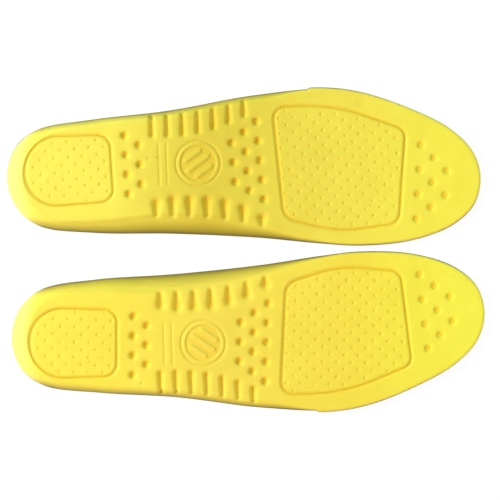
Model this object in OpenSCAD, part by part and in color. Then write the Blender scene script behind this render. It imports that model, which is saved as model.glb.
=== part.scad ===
// A pair of cushioned insoles, lying side by side with their soles up.
// Each insole is drawn in its own frame: X runs from heel to toe, +Y is the little-toe side,
// the sole face is z = 0 and the foot side is below it. lay() then sets it on the surface.

/* [Size] */
// Length of an insole, heel to toe
length = 275; // [240:1:300]
// Width across the ball of the foot
ball_w = 92.5; // [84:0.5:100]
// Clear gap between the two insoles at the ball
pair_gap = 3.5; // [2:0.5:30]

/* [Thickness] */
// Height of the heel cup's rim over the sole face, cover included
rim_h = 20; // [16:0.5:24]
// Thickness under the middle of the heel, cover included
heel_t = 8.5; // [8:0.1:9.5]
// Thickness of the forefoot, cover included
fore_t = 5.5; // [5:0.1:6.5]
// Thickness of the fabric top cover
cover_t = 0.8; // [0.6:0.1:1.2]

/* [Flanks] */
// How far the flank leans out on the arch side
flank_in = 11.5; // [9:0.5:13]
// How far the flank leans out on the little-toe side
flank_out = 5; // [4:0.5:7]
// How far the flank leans out behind the heel
flank_back = 9; // [7:0.5:11]
// How sharply the flank starts on the arch side, where 0 is a quarter ellipse
flank_crease = 0.72; // [0:0.04:0.8]
// Roundness of the forefoot's lower edge
edge_r = 1; // [0.6:0.1:1.5]
// Width of the flat land on top of the rim
rim_land = 1.4; // [1:0.1:2]

/* [Pads] */
// Depth of the heel pad and its pocket
heel_pad_t = 3.5; // [2:0.1:4]
// Depth of the forefoot pad and its pocket
fore_pad_t = 2.2; // [1.5:0.1:2.5]
// Gap between a pad and the wall of its pocket
pad_gap = 0.6; // [0.4:0.1:1]

/* [Relief] */
// Radius of a round dimple at the sole face
dimple_r = 2.3; // [2:0.1:2.6]
// Depth of a round dimple
dimple_depth = 2; // [1:0.1:2]
// Half width of a slot on the little-toe side
slot_out_w = 2.2; // [2.1:0.1:2.4]
// Half width of a slot on the arch side
slot_in_w = 2.8; // [2.2:0.1:3]
// Depth of the slots
slot_depth = 2.1; // [1:0.1:2.1]
// Radius of the round medallion under the arch
medal_r = 13.4; // [10:0.2:14]

/* [Resolution] */
// Points on each stretch of the outline
stretch_steps = 4; // [3:1:5]

/* [Hidden] */
RIGHT = 1;
LEFT = -1;

foam_yellow = "#F6E850";
pad_yellow = "#F8EC58";
cover_olive = "#6E6640";

// The shape is drawn at the size of stations[] and scaled to length and ball_w.
drawn_length = 275;
drawn_w = 92.5;
kx = length / drawn_length;
ky = ball_w / drawn_w;

// Outline: distance from the heel, edge on the little-toe side, edge on the arch side
stations = [[5, 16, -18.5], [18, 26.1, -29.6], [50, 31.2, -34.5], [95, 35.2, -36.3],
            [145, 42.9, -40.1], [180, 46.1, -44.4], [205, 43.1, -46.4], [235, 32.4, -44],
            [258, 20, -36], [271, 6.2, -24.3]];
heel_tip = [0, -1.2];
toe_tip = [275, -9];

// The flanks fade out between these distances from the heel, on each side
fade_out = [138, 177];
fade_in = [128, 194];
// The rim comes down to the forefoot between these distances
fall_out = [95, 177];
fall_in = [115, 190];
// The heel end and the toe end are rounded about these points of the middle line
heel_centre = [32, -1.7];
toe_centre = [243, -6.5];
// Breadth of the slope from the rim down to the footbed
bowl_back = 18;
bowl_out = 16;
bowl_in = 22;
bowl_fore = 6;
// Distance from the heel over which the footbed thins to the forefoot
thin_from = 100;
thin_to = 180;

function scaled(p) = [p[0] * kx, p[1] * ky];
function lerp(a, b, t) = a + (b - a) * t;
function smooth(a, b, x) = let (t = max(0, min(1, (x - a) / (b - a)))) t * t * (3 - 2 * t);

// ---- outline: a closed curve through the stations ----
knots = [scaled(heel_tip),
         for (s = stations) scaled([s[0], s[1]]),
         scaled(toe_tip),
         for (i = [len(stations) - 1:-1:0]) scaled([stations[i][0], stations[i][2]])];
function gap(a, b) = sqrt(norm(b - a));
function curve(p, u) =
    let (k1 = gap(p[0], p[1]),
         k2 = k1 + gap(p[1], p[2]),
         k3 = k2 + gap(p[2], p[3]),
         s = lerp(k1, k2, u),
         a1 = lerp(p[0], p[1], s / k1),
         a2 = lerp(p[1], p[2], (s - k1) / (k2 - k1)),
         a3 = lerp(p[2], p[3], (s - k2) / (k3 - k2)),
         b1 = lerp(a1, a2, s / k2),
         b2 = lerp(a2, a3, (s - k1) / (k3 - k1)))
    lerp(b1, b2, (s - k1) / (k2 - k1));
knot_count = len(knots);
outline = [for (i = [0:knot_count - 1], j = [0:stretch_steps - 1])
    let (p = [for (d = [-1:2]) knots[(i + d + knot_count) % knot_count]])
    curve(p, j / stretch_steps)];
n = len(outline);

// ---- heights and breadths round the outline ----
// 0 on the little-toe side, 1 on the arch side
function arch_side(p) = smooth(-12, 12, -p[1]);
// 1 behind the heel, 0 along the sides
function behind(p) = 1 - smooth(0, 30, p[0]);
// On the arch side the flank is half as broad beside the heel
function flank_in_at(x) = flank_in * lerp(0.5, 1, smooth(30, 95, x));
function flank_w(p) =
    let (m = arch_side(p),
         side = lerp(lerp(flank_out, flank_in_at(p[0]), m), flank_back, behind(p)),
         fade = smooth(lerp(fade_out[0], fade_in[0], m), lerp(fade_out[1], fade_in[1], m), p[0]))
    lerp(side, edge_r, fade);
// Height of the surface that the upturned insole lies on, measured down from the sole face
function table_h(x) = lerp(rim_h, fore_t, x / length);
function rim(p) =
    let (m = arch_side(p))
    lerp(table_h(p[0]), fore_t,
         smooth(lerp(fall_out[0], fall_in[0], m), lerp(fall_out[1], fall_in[1], m), p[0]));
function bowl_w(p) =
    let (m = arch_side(p),
         side = lerp(lerp(bowl_out, bowl_in, m), bowl_back, behind(p)))
    lerp(side, bowl_fore, smooth(150, 210, p[0]));
function bed_t(x) = lerp(heel_t, fore_t, smooth(thin_from, thin_to, x));

// A point moved in from outline point k, straight across or towards the end's centre
function centre_of(p) =
    p[0] < heel_centre[0] ? heel_centre : p[0] > toe_centre[0] ? toe_centre : [p[0], 0];
function inward(k, d) =
    let (p = outline[k], c = centre_of(p)) p + d * (c - p) / norm(c - p);

// ---- rings of points ----
sole_ring = [for (k = [0:n - 1]) let (q = inward(k, flank_w(outline[k]))) [q[0], q[1], 0]];
// The flank is a quarter of an ellipse from the sole face out to the rim, but beside the heel and
// the waist the arch side's flank starts at a crease
function crease(p) =
    flank_crease * arch_side(p) * smooth(14, 40, p[0]) * (1 - smooth(108, 150, p[0]));
function flank_ring(a, cut) = [for (k = [0:n - 1])
    let (p = outline[k], c = crease(p), q = inward(k, flank_w(p) * (1 - sin(a))))
    [q[0], q[1], -(rim(p) - cut) * ((1 - c) * (1 - cos(a)) + c * a / 90)]];
// The foot side at share u of the way from the rim's land to the footbed, raised by up
function foot_ring(u, up) = [for (k = [0:n - 1])
    let (p = outline[k], q = inward(k, rim_land + u * bowl_w(p)), t = bed_t(q[0]))
    [q[0], q[1], up - t - (rim([q[0], p[1]]) - t) * pow(1 - u, 2.2)]];
function edge_ring(up) = [for (k = [0:n - 1]) let (p = outline[k]) [p[0], p[1], up - rim(p)]];

flank_angles = [20, 38, 54, 68, 80];
bowl_shares = [0, 0.12, 0.28, 0.46, 0.7, 1];
bed_columns = 4;

// ---- faces: rings are joined in order, and the last one is closed across the insole ----
function cap_index(ring, extra, columns, k, c) =
    (k == 0 || k == n / 2) ? ring + k
    : c == 0 ? ring + k
    : c == columns ? ring + n - k
    : extra + (k - 1) * (columns - 1) + c - 1;
function cap_points(ring, columns, up) = [for (k = [1:n / 2 - 1], c = [1:columns - 1])
    let (q = lerp(ring[k], ring[n - k], c / columns)) [q[0], q[1], up - bed_t(q[0])]];
function cap_faces(ring, extra, columns, flip) = [for (k = [0:n / 2 - 1], c = [0:columns - 1])
    let (a = cap_index(ring, extra, columns, k, c),
         b = cap_index(ring, extra, columns, k + 1, c),
         d = cap_index(ring, extra, columns, k + 1, c + 1),
         e = cap_index(ring, extra, columns, k, c + 1))
    for (f = k == 0 ? [[a, b, d]] : k == n / 2 - 1 ? [[a, b, e]] : [[a, b, d], [a, d, e]])
    flip ? [f[2], f[1], f[0]] : f];
// Each four-sided patch is split from its outer to its inner ring, so that two skins that share
// a surface split it alike. The first bands, outward in number, run outwards, and the rest inwards.
function band_faces(r, outward) = [for (i = [0:r - 2], k = [0:n - 1])
    let (a = i * n + k, b = i * n + (k + 1) % n, c = a + n, d = b + n)
    each i < outward ? [[a, c, b], [b, c, d]] : [[a, c, d], [a, d, b]]];

// A closed skin: rings run from the upper face, round the edge, to the lower face
module skin(rings, outward, upper_columns, upper_up, lower_columns, lower_up) {
    r = len(rings);
    upper = upper_columns > 1 ? cap_points(rings[0], upper_columns, upper_up) : [];
    lower = lower_columns > 1 ? cap_points(rings[r - 1], lower_columns, lower_up) : [];
    points = [for (ring = rings) each ring];
    polyhedron(
        points = concat(points, upper, lower),
        faces = concat(
            cap_faces(0, r * n, upper_columns, false),
            band_faces(r, outward),
            cap_faces((r - 1) * n, r * n + len(upper), lower_columns, true)));
}

// ---- pads: corners are [distance from heel, side, radius] ----
heel_corners = [[10.4, 21.6, 20], [59.8, 21.6, 7.5], [61.2, -16.6, 7.5], [10.4, -19.3, 19]];
fore_corners = [[155.2, 34.9, 7], [191.3, 35.6, 100], [231.6, 19.9, 6.5], [226.4, -34.1, 7],
                [191.6, -38.1, 70], [160, -29, 9]];
arc_steps = 6;
function unit(v) = v / norm(v);
function corner_arc(list, i) =
    let (m = len(list),
         c = list[i],
         p = [c[0] * kx, c[1] * ky],
         a = scaled(list[(i + m - 1) % m]),
         b = scaled(list[(i + 1) % m]),
         ua = unit([a[0], a[1]] - p),
         ub = unit([b[0], b[1]] - p),
         half = acos(ua * ub) / 2,
         centre = p + unit(ua + ub) * c[2] / sin(half),
         from = p + ua * c[2] / tan(half) - centre,
         to = p + ub * c[2] / tan(half) - centre)
    [for (s = [0:arc_steps]) centre + c[2] * unit(lerp(from, to, s / arc_steps))];
function pad_outline(list) = [for (i = [0:len(list) - 1]) each corner_arc(list, i)];
// The outline runs clockwise, so its left-hand side is outside
function grown(pts, d) = [for (i = [0:len(pts) - 1])
    let (m = len(pts), t = unit(pts[(i + 1) % m] - pts[(i + m - 1) % m]))
    pts[i] + d * [-t[1], t[0]]];

clear = 1; // how far a cutter stands out of the sole face
module pad(list, t) translate([0, 0, -t]) linear_extrude(t) polygon(pad_outline(list));
module pocket(list, t)
    translate([0, 0, -t]) linear_extrude(t + clear) polygon(grown(pad_outline(list), pad_gap));

// ---- relief of the sole face ----
// Radius of the ball whose cap is w wide each side and h deep
function cap_r(w, h) = (w * w + h * h) / (2 * h);
module dimple(x, y) {
    r = cap_r(dimple_r, dimple_depth);
    translate([x * kx, y * ky, r - dimple_depth]) sphere(r);
}
dimple_pitch = 11.3; // within a row, across the insole
row_pitch = 7.3;     // from row to row, along the insole
toe_pitch = 14.3;
// A row of count dimples that starts at [x, y] and runs towards the arch side
module dimple_row(x, y, count, pitch, lean)
    for (i = [0:count - 1]) dimple(x + lean * i, y - pitch * i);
module dimples() {
    dimple_row(69.3, 21.2, 4, dimple_pitch, 0.5);
    dimple_row(77.3, 15.4, 3, dimple_pitch, 0.5);
    for (r = [0:2]) dimple_row(131.4 + row_pitch * r, 15.2 + 6 * r, 3 + r, dimple_pitch, 0.8);
    for (r = [0:2]) dimple_row(241.5 + row_pitch * r, 11 - 7.7 * r, 4 - r, toe_pitch, -1.3);
}

// A groove with round ends: half width w, from y0 to y1
module slot(x, y0, y1, w) {
    r = cap_r(w, slot_depth);
    a = min(y0, y1) * ky + w;
    b = max(y0, y1) * ky - w;
    translate([x * kx, 0, r - slot_depth]) {
        translate([0, a, 0]) rotate([-90, 0, 0]) cylinder(r = r, h = b - a);
        for (y = [a, b]) translate([0, y, 0]) sphere(r);
    }
}
slots = 7;
out_slot_x = 85.4;
out_slot_pitch = 8.95;
in_slot_x = 86.8;
in_slot_pitch = 9.4;
// Both rows follow the waist: the slots shorten and move outwards towards the ball
module slot_rows() {
    for (i = [0:slots - 1]) {
        x = out_slot_x + out_slot_pitch * i;
        slot(x, 19.4 + 0.42 * pow(max(0, i - 1), 2), 32.5 + 0.18 * i * i, slot_out_w);
    }
    for (i = [0:slots - 1]) {
        x = in_slot_x + in_slot_pitch * i + 0.13 * i * i;
        back = max(0, i - 1);
        slot(x, -14.6 - 0.095 * pow(back, 3), -27 - 0.28 * pow(back, 2), slot_in_w);
    }
}

// Round medallion: a thin moat, a ring level with the sole face, and three slanted bars in a
// sunk field. Two plain score lines stand beside it.
medal_at = [110.7, 3.9];
moat_w = 0.9;
moat_depth = 0.4;
ring_w = 1.8;
field_depth = 0.6;
bar_w = 2.2;
bar_pitch = 5.6;
bar_half = 8;
bar_taper = 1.8;
bar_angle = 35;
score_x = [88, 92.6];
score_half = 12;
score_w = 0.9;
score_depth = 0.35;
module bar(half) {
    square([2 * (half - bar_w / 2), bar_w], center = true);
    for (s = [-1, 1]) translate([s * (half - bar_w / 2), 0]) circle(bar_w / 2, $fn = 24);
}
module medallion() translate([medal_at[0] * kx, medal_at[1] * ky, 0]) {
    translate([0, 0, -moat_depth]) linear_extrude(moat_depth + clear) difference() {
        circle(medal_r, $fn = 64);
        circle(medal_r - moat_w, $fn = 64);
    }
    translate([0, 0, -field_depth]) linear_extrude(field_depth + clear) difference() {
        circle(medal_r - moat_w - ring_w, $fn = 64);
        rotate(bar_angle) for (i = [-1:1])
            translate([0, bar_pitch * i]) bar(bar_half - bar_taper * abs(i));
    }
}
module score_lines() for (x = score_x)
    translate([x * kx - score_w / 2, medal_at[1] * ky - score_half, -score_depth])
        cube([score_w, 2 * score_half, score_depth + clear]);

// ---- the pieces, right foot ----
module base_foam() color(foam_yellow) difference() {
    skin(concat([sole_ring],
                [for (a = flank_angles) flank_ring(a, cover_t)],
                [edge_ring(cover_t)],
                [for (u = bowl_shares) foot_ring(u, cover_t)]),
         0, 1, 0, bed_columns, cover_t);
    pocket(heel_corners, heel_pad_t);
    pocket(fore_corners, fore_pad_t);
    dimples();
    slot_rows();
    medallion();
    score_lines();
}
module heel_pad() color(pad_yellow) pad(heel_corners, heel_pad_t);
module forefoot_pad() color(pad_yellow) pad(fore_corners, fore_pad_t);
module top_cover() color(cover_olive)
    skin(concat([for (i = [len(bowl_shares) - 1:-1:0]) foot_ring(bowl_shares[i], cover_t)],
                [edge_ring(cover_t), edge_ring(0)],
                [for (u = bowl_shares) foot_ring(u, 0)]),
         len(bowl_shares), bed_columns, cover_t, bed_columns, 0);

// ---- laid sole up: the rim of the heel cup, the arch and the toe touch z = 0 ----
pitch = atan((rim_h - fore_t) / length);
lift = rim_h * cos(pitch);
mid_x = (length * cos(pitch) - (fore_t + rim_h) * sin(pitch)) / 2;
arch_reach = 46.45 * ky; // how far the ball stands out from the middle line on the arch side
module lay(side) mirror([0, side == LEFT ? 1 : 0, 0])
    translate([-mid_x, arch_reach + pair_gap / 2, lift]) rotate([0, pitch, 0]) children();

module right_base_foam() lay(RIGHT) base_foam();
module right_heel_pad() lay(RIGHT) heel_pad();
module right_forefoot_pad() lay(RIGHT) forefoot_pad();
module right_top_cover() lay(RIGHT) top_cover();
module left_base_foam() lay(LEFT) base_foam();
module left_heel_pad() lay(LEFT) heel_pad();
module left_forefoot_pad() lay(LEFT) forefoot_pad();
module left_top_cover() lay(LEFT) top_cover();

right_base_foam();
right_heel_pad();
right_forefoot_pad();
right_top_cover();
left_base_foam();
left_heel_pad();
left_forefoot_pad();
left_top_cover();
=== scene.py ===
import math
from collections import namedtuple

import bpy
import numpy as np
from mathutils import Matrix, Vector
from mathutils.geometry import delaunay_2d_cdt


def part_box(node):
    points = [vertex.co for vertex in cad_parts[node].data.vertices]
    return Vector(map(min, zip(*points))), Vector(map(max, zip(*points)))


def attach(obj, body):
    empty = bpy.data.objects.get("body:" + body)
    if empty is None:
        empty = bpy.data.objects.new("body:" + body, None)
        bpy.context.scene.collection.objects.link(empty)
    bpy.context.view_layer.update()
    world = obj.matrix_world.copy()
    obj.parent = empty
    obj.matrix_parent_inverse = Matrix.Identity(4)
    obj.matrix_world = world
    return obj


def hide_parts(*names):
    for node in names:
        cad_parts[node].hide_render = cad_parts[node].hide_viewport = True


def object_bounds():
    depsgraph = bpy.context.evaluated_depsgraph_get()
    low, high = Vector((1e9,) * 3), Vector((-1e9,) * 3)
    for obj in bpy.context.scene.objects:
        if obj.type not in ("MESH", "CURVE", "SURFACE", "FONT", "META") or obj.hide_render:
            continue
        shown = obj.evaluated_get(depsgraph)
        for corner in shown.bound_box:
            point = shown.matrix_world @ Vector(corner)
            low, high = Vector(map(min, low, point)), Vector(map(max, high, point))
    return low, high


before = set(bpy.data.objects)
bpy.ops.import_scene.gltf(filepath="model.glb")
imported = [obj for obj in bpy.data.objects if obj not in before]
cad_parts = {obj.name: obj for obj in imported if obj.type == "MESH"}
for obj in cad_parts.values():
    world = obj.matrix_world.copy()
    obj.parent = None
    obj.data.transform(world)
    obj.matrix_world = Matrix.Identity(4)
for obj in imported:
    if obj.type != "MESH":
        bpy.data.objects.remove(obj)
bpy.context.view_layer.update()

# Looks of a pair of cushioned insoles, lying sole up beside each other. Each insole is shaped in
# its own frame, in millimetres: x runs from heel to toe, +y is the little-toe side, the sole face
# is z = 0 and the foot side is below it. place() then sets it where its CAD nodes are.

SIDES = {"right": 1, "left": -1}

# ---- sizes and places that the CAD part also has ----
LENGTH = 275.0
RIM_H = 20.0
HEEL_T = 8.5
FORE_T = 5.5
COVER_T = 0.8
FLANK_IN, FLANK_OUT, FLANK_BACK = 11.5, 5.0, 9.0
# the arch side's flank grows from half its breadth to all of it between these distances from the heel
FLANK_IN_GROWS = (30, 95)
CREASE = 0.72   # how sharply the arch side's flank starts, where 0 is a quarter ellipse
CREASE_COMES, CREASE_GOES = (14, 40), (108, 150)
RIM_LAND = 1.4
HEEL_PAD_T, FORE_PAD_T, PAD_GAP = 3.5, 2.2, 0.6
# distance from the heel, edge on the little-toe side, edge on the arch side
STATIONS = [
    (5, 16, -18.5), (18, 26.1, -29.6), (50, 31.2, -34.5), (95, 35.2, -36.3), (145, 42.9, -40.1),
    (180, 46.1, -44.4), (205, 43.1, -46.4), (235, 32.4, -44), (258, 20, -36), (271, 6.2, -24.3),
]
HEEL_TIP, TOE_TIP = (0, -1.2), (275, -9)
HEEL_CENTRE, TOE_CENTRE = np.array([32, -1.7]), np.array([243, -6.5])
# distances from the heel between which the flanks fade and the rim falls, on each side; the fade on
# the little-toe side is shorter than in the CAD
FADE_OUT, FADE_IN = (150, 178), (128, 194)
FALL_OUT, FALL_IN = (95, 177), (115, 190)
# breadth of the slope from the rim to the footbed; where the forefoot's takes over; and how it curves
BOWL_BACK, BOWL_OUT, BOWL_IN, BOWL_FORE = 18.0, 16.0, 22.0, 6.0
BOWL_NARROWS, BOWL_POWER = (150, 210), 2.2
BED_THINS = (100, 180)   # the footbed thins between these distances from the heel
SIDE_BLEND = 12          # breadth each way from the middle over which one side changes to the other
HEEL_END = 30            # distance from the heel where the back of the heel ends
# corners of the pads: distance from the heel, side, radius
HEEL_PAD = [(10.4, 21.6, 20), (59.8, 21.6, 7.5), (61.2, -16.6, 7.5), (10.4, -19.3, 19)]
FORE_PAD = [
    (155.2, 34.9, 7), (191.3, 35.6, 100), (231.6, 19.9, 6.5),
    (226.4, -34.1, 7), (191.6, -38.1, 70), (160, -29, 9),
]
MEDAL_AT, MEDAL_R = np.array([110.7, 3.9]), 13.4
BARS, BAR_PITCH, BAR_HALF, BAR_TAPER, BAR_W, BAR_ANGLE = 3, 5.6, 8.0, 1.8, 2.2, 35.0
SCORE_X, SCORE_HALF, SCORE_W = (88.0, 92.6), 12.0, 0.9


def smooth(a, b, x):
    """0 up to a, 1 from b, and a smooth step between them."""
    t = np.clip((np.asarray(x, float) - a) / (b - a), 0, 1)
    return t * t * (3 - 2 * t)


def mix(a, b, t):
    return a + (b - a) * t


# ---- the outline, and what lies straight out from any point ----
def stretch(p, u):
    """Centripetal Catmull-Rom curve from p[1] to p[2], at the shares u of the way."""
    k1, k2, k3 = np.cumsum([math.sqrt(np.linalg.norm(p[i + 1] - p[i])) for i in range(3)])
    s = mix(k1, k2, u)[:, None]
    a1 = mix(p[0], p[1], s / k1)
    a2 = mix(p[1], p[2], (s - k1) / (k2 - k1))
    a3 = mix(p[2], p[3], (s - k2) / (k3 - k2))
    b1 = mix(a1, a2, s / k2)
    b2 = mix(a2, a3, (s - k1) / (k3 - k1))
    return mix(b1, b2, (s - k1) / (k2 - k1))


def closed_curve(steps=60):
    """The outline: from the heel's tip along the little-toe side, round the toe, and back."""
    outer = [(x, a) for x, a, b in STATIONS]
    inner = [(x, b) for x, a, b in reversed(STATIONS)]
    knots = np.array([HEEL_TIP, *outer, TOE_TIP, *inner], float)
    u = np.arange(steps) / steps
    fours = [np.roll(knots, 1 - i, axis=0)[:4] for i in range(len(knots))]
    return np.concatenate([stretch(four, u) for four in fours])


# The moulded edge steps out where the little-toe side's flank ends
STEP, STEP_FROM, STEP_AT, STEP_RUN = 0.9, 125, 175.5, 1.6
PLAIN = closed_curve()
EDGE = PLAIN.copy()
EDGE[:, 1] -= (
    STEP * smooth(STEP_FROM, STEP_AT, PLAIN[:, 0])
    * (1 - smooth(STEP_AT, STEP_AT + STEP_RUN, PLAIN[:, 0])) * (PLAIN[:, 1] > 0)
)
KEY_TURN = 2 * math.pi + 2   # half a turn at each end, and 1 for each side


def key_of(p):
    """A number that grows round the insole, from the heel's tip along the little-toe side."""
    back = np.arctan2(p[:, 1] - HEEL_CENTRE[1], p[:, 0] - HEEL_CENTRE[0])
    front = np.arctan2(p[:, 1] - TOE_CENTRE[1], p[:, 0] - TOE_CENTRE[0])
    along = (p[:, 0] - HEEL_CENTRE[0]) / (TOE_CENTRE[0] - HEEL_CENTRE[0])
    heel = np.where(back >= 0, math.pi - back, -math.pi - back) % KEY_TURN
    toe = math.pi + 1 - front
    side = np.where(p[:, 1] >= 0, math.pi / 2 + along, math.pi * 1.5 + 2 - along)
    return np.where(p[:, 0] < HEEL_CENTRE[0], heel, np.where(p[:, 0] > TOE_CENTRE[0], toe, side))


EDGE_KEYS = key_of(EDGE)
Spots = namedtuple("Spots", "centre way r reach edge")


def outward(p):
    """For each point: the centre it is measured from, the way out, its distance r, the outline's
    distance reach, and the outline's point edge."""
    key = key_of(p)
    edge = np.stack([np.interp(key, EDGE_KEYS, EDGE[:, i], period=KEY_TURN) for i in (0, 1)], 1)
    centre = np.stack([p[:, 0], np.zeros(len(p))], 1)
    centre[p[:, 0] < HEEL_CENTRE[0]] = HEEL_CENTRE
    centre[p[:, 0] > TOE_CENTRE[0]] = TOE_CENTRE
    reach = np.linalg.norm(edge - centre, axis=1)
    way = (edge - centre) / reach[:, None]
    return Spots(centre, way, np.linalg.norm(p - centre, axis=1), reach, edge)


def resampled(points, gap):
    """A closed line's points again, evenly about gap apart."""
    loop = np.vstack([points, points[:1]])
    run = np.concatenate([[0], np.cumsum(np.linalg.norm(np.diff(loop, axis=0), axis=1))])
    at = np.linspace(0, run[-1], max(8, round(run[-1] / gap)), endpoint=False)
    return np.stack([np.interp(at, run, loop[:, i]) for i in (0, 1)], 1)


# ---- heights and breadths round the outline ----
def arch_side(p):
    """0 on the little-toe side and 1 on the arch side."""
    return smooth(-SIDE_BLEND, SIDE_BLEND, -p[:, 1])


def on_each_side(p, outer, inner):
    """Smooth step in the distance from the heel, between limits that differ from side to side."""
    m = arch_side(p)
    return smooth(mix(outer[0], inner[0], m), mix(outer[1], inner[1], m), p[:, 0])


def from_three(p, outer, inner, back):
    """A value that is different on the little-toe side, on the arch side and behind the heel."""
    return mix(mix(outer, inner, arch_side(p)), back, 1 - smooth(0, HEEL_END, p[:, 0]))


def rim(p):
    """Height of the rim over the sole face, at points of the outline."""
    return mix(mix(RIM_H, FORE_T, p[:, 0] / LENGTH), FORE_T, on_each_side(p, FALL_OUT, FALL_IN))


def bed_t(x):
    """Thickness of the footbed, cover included."""
    return mix(HEEL_T, FORE_T, smooth(*BED_THINS, x))


def foot_side(p, up):
    """Height of the foot side under each point, raised by up."""
    at = outward(p)
    broad = from_three(at.edge, BOWL_OUT, BOWL_IN, BOWL_BACK)
    width = mix(broad, BOWL_FORE, smooth(*BOWL_NARROWS, at.edge[:, 0]))
    u = np.clip((at.reach - at.r - RIM_LAND) / width, 0, 1)
    t = bed_t(p[:, 0])
    high = rim(np.stack([p[:, 0], at.edge[:, 1]], 1))
    return up - t - (high - t) * (1 - u) ** BOWL_POWER


# ---- the sole side: sole face and flanks, unrolled flat ----
EDGE_W = 1.7         # breadth of the forefoot's edge
EDGE_ROUND = 0.75    # share of that breadth that its round part has
EDGE_TURN = 0.45     # share of the way over the edge that its round part takes
FOAM_EDGE = 0.25     # how far the foam's lower edge stays in from the outline, and up from the cover
SLOPE_STEP = 0.02    # share of the flank's way, each way, that its slope is taken over
LEAN_FROM, LEAN_TO = -3, 4       # distances past the crease between which the normal turns
SHADE_DULL_FROM, SHADE_DULL_TO = -0.9, -0.3  # x of the way out, between which the flank starts to take painted shade and dull roughness; it takes none where it faces back, towards the key light
MARK_LIMIT = 0.98    # share of the flank's breadth within which marks are placed
Flank = namedtuple("Flank", "breadth high fade crease")


def flank_of(edge):
    """Breadth, height, fade and crease of the flank at points of the outline."""
    x = edge[:, 0]
    fade = on_each_side(edge, FADE_OUT, FADE_IN)
    inner = FLANK_IN * mix(0.5, 1, smooth(*FLANK_IN_GROWS, x))
    breadth = mix(from_three(edge, FLANK_OUT, inner, FLANK_BACK), EDGE_W, fade)
    crease = CREASE * arch_side(edge) * smooth(*CREASE_COMES, x) * (1 - smooth(*CREASE_GOES, x))
    return Flank(breadth, rim(edge) - COVER_T - FOAM_EDGE, fade, crease)


def strip(breadth, high):
    """About how long the flank is from the sole face to the rim, over its curve."""
    return np.sqrt((breadth ** 2 + high ** 2) / 2) * math.pi / 2


def flank_profile(t, breadth, high, fade, crease):
    """How far out and down the flank is at share t of its way."""
    a = t * math.pi / 2
    out, down = breadth * np.sin(a), high * ((1 - crease) * (1 - np.cos(a)) + crease * t)
    b = np.clip(t / EDGE_TURN, 0, 1) * math.pi / 2
    rest = np.clip((t - EDGE_TURN) / (1 - EDGE_TURN), 0, 1)
    turn = EDGE_ROUND * EDGE_W
    out_edge = breadth * (EDGE_ROUND * np.sin(b) + (1 - EDGE_ROUND) * rest)
    down_edge = turn * (1 - np.cos(b)) + (high - turn) * rest
    return mix(out, out_edge, fade), mix(down, down_edge, fade)


def on_sole_side(p):
    """Base points, normals and the flank's mask of painted shade and dull roughness, for points of the
    unrolled sole side. The back of the heel, lit by the key light, gets none."""
    centre, way, r, reach, edge = outward(p)
    flank = flank_of(edge)
    inner = reach - flank.breadth
    t = np.clip((r - inner) / strip(flank.breadth, flank.high), 0, 1)
    out, down = flank_profile(t, *flank)
    out_a, down_a = flank_profile(np.clip(t - SLOPE_STEP, 0, 1), *flank)
    out_b, down_b = flank_profile(np.clip(t + SLOPE_STEP, 0, 1), *flank)
    # the normal turns slowly across the crease, so that a groove that crosses it isn't torn
    lean = np.arctan2(down_b - down_a, out_b - out_a) * smooth(LEAN_FROM, LEAN_TO, r - inner)
    plan = centre + way * (np.minimum(r, inner) + out)[:, None]
    base = np.column_stack([plan, -down])
    normal = np.column_stack([way * np.sin(lean)[:, None], np.cos(lean)])
    # painted shade and dull roughness grow towards the rim
    shade_and_dull = t * smooth(SHADE_DULL_FROM, SHADE_DULL_TO, way[:, 0])
    return base, normal, shade_and_dull


def unrolled(p):
    """Where points seen from above lie on the unrolled sole side."""
    p = np.atleast_2d(np.asarray(p, float))
    centre, way, r, reach, edge = outward(p)
    flank = flank_of(edge)
    over = np.clip((r - reach + flank.breadth) / flank.breadth, 0, MARK_LIMIT)
    s = np.arcsin(over) / (math.pi / 2) * strip(flank.breadth, flank.high)
    return centre + way * (np.minimum(r, reach - flank.breadth) + s)[:, None]


# ---- relief: each mark has a height for any point, and points that its shape needs ----
SKIRT = 1.55   # how far a soft lip reaches, as a share of a hard one


class Groove:
    """A round-ended recess from a to b, with its own half width at each end. Its lip falls from one
    share of that half width to another, and soft is the part of its depth that a wider lip takes.
    fall is the share of its depth that is left at b, and levels are the shares of its half width
    where it needs points. A negative depth stands up."""

    def __init__(self, a, b, wide_a, wide_b, depth, lip, levels, fall=1.0, soft=0.0):
        self.a, self.b = np.asarray(a, float), np.asarray(b, float)
        self.wide_a, self.wide_b, self.depth, self.fall = wide_a, wide_b, depth, fall
        self.lip, self.levels, self.soft = lip, levels, soft

    def height(self, p):
        line = self.b - self.a
        t = np.clip((p - self.a) @ line / max(line @ line, 1e-9), 0, 1)
        off = np.linalg.norm(p - self.a - t[:, None] * line, axis=1)
        rho = off / mix(self.wide_a, self.wide_b, t)
        core = 1 - smooth(*self.lip, rho)
        skirt = 1 - smooth(self.lip[0], SKIRT * self.lip[1], rho)
        return -self.depth * mix(1, self.fall, t) * mix(core, skirt, self.soft)

    def points(self, gap):
        line = self.b - self.a
        long = np.linalg.norm(line)
        along = line / long if long > 1e-6 else np.array([1.0, 0.0])
        across = np.array([-along[1], along[0]])
        steps = np.linspace(0, 1, max(2, round(long / gap) + 1)) if long > 1e-6 else np.zeros(1)
        made = []
        for level in self.levels:
            if level == 0:
                made.append(self.a + steps[:, None] * line)
                continue
            wide = mix(self.wide_a, self.wide_b, steps)[:, None] * level
            middle = self.a + steps[:, None] * line
            made += [middle + across * wide, middle - across * wide]
            for end, w, way in ((self.a, self.wide_a, -1), (self.b, self.wide_b, 1)):
                n = max(5, round(math.pi * w * level / gap))
                turn = (np.arange(1, n) / n * math.pi - math.pi / 2)[:, None]
                made.append(end + w * level * (np.cos(turn) * along * way + np.sin(turn) * across))
        return np.concatenate(made)


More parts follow.
